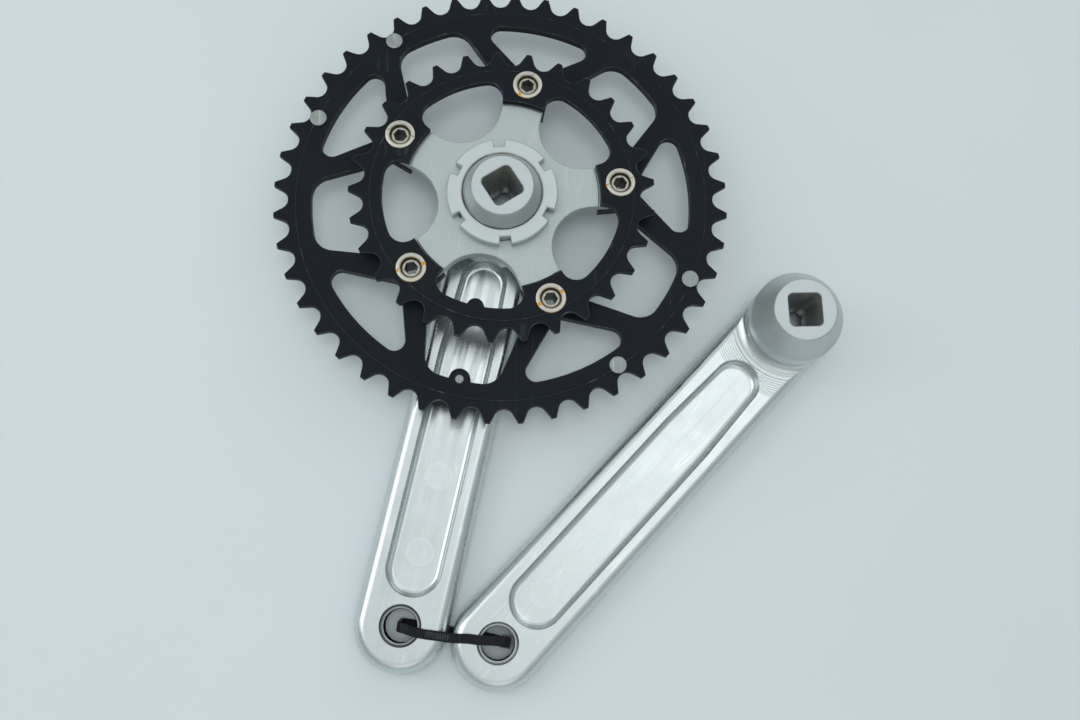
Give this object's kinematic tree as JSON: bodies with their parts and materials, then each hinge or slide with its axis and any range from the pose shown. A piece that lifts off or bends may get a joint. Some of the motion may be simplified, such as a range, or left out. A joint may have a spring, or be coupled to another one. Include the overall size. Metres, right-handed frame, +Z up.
{
  "type": "bicycle crankset",
  "caption": "Square taper bicycle crankset lying outer face down: double chainrings on a bolted spider and lockring, with a loose left crank arm tied to the right one through the pedal holes.",
  "frame": {"origin": "middle of the whole crankset's footprint, on the surface it lies on", "axes": "+Z up, along the spindle axis from the arms' outer faces to the bosses' ends; +Y from the pedal holes towards the chainrings, about along the right arm; +X towards the left arm"},
  "size_m": [0.225, 0.2808, 0.0373],
  "materials": {
    "arm_alloy": "forged and machined aluminium, satin polished, with fine brushing and small scratches",
    "spider_alloy": "matte bead-blasted aluminium, pale grey with a slight green cast",
    "lockring_alloy": "fine matte turned aluminium",
    "black_anodised": "black anodised aluminium, satin, with light scratches and turned facing marks",
    "nickel_steel": "warm nickel-plated steel with traces of rust in the slots",
    "pin_steel": "plain grey turned steel",
    "black_nylon": "black moulded nylon, satin"
  },
  "bodies": {
    "drive_side": {"right_crank_arm": "arm_alloy", "spider": "spider_alloy", "lockring": "lockring_alloy", "outer_chainring": "black_anodised", "inner_chainring": "black_anodised", "chainring_bolt_1": "nickel_steel", "chainring_bolt_2": "nickel_steel", "chainring_bolt_3": "nickel_steel", "chainring_bolt_4": "nickel_steel", "chainring_bolt_5": "nickel_steel", "chainring_nut_1": "nickel_steel", "chainring_nut_2": "nickel_steel", "chainring_nut_3": "nickel_steel", "chainring_nut_4": "nickel_steel", "chainring_nut_5": "nickel_steel", "shift_pin_1": "pin_steel", "shift_pin_2": "pin_steel", "shift_pin_3": "pin_steel", "shift_pin_4": "pin_steel", "chain_drop_pin": "pin_steel"},
    "cable_tie": {"cable_tie": "black_nylon"},
    "left_arm": {"left_crank_arm": "arm_alloy"}
  },
  "joints": [
    {"name": "tie_swing", "type": "hinge", "parent": "drive_side", "child": "cable_tie", "pos_m": [-0.0565, -0.11674, 0.0078], "axis": [0, 0, 1], "range_deg": [-60, 1]},
    {"name": "left_arm_swing", "type": "hinge", "parent": "cable_tie", "child": "left_arm", "pos_m": [-0.01988, -0.12273, 0.0078], "axis": [0, 0, 1], "range_deg": [-150, 3]}
  ]
}
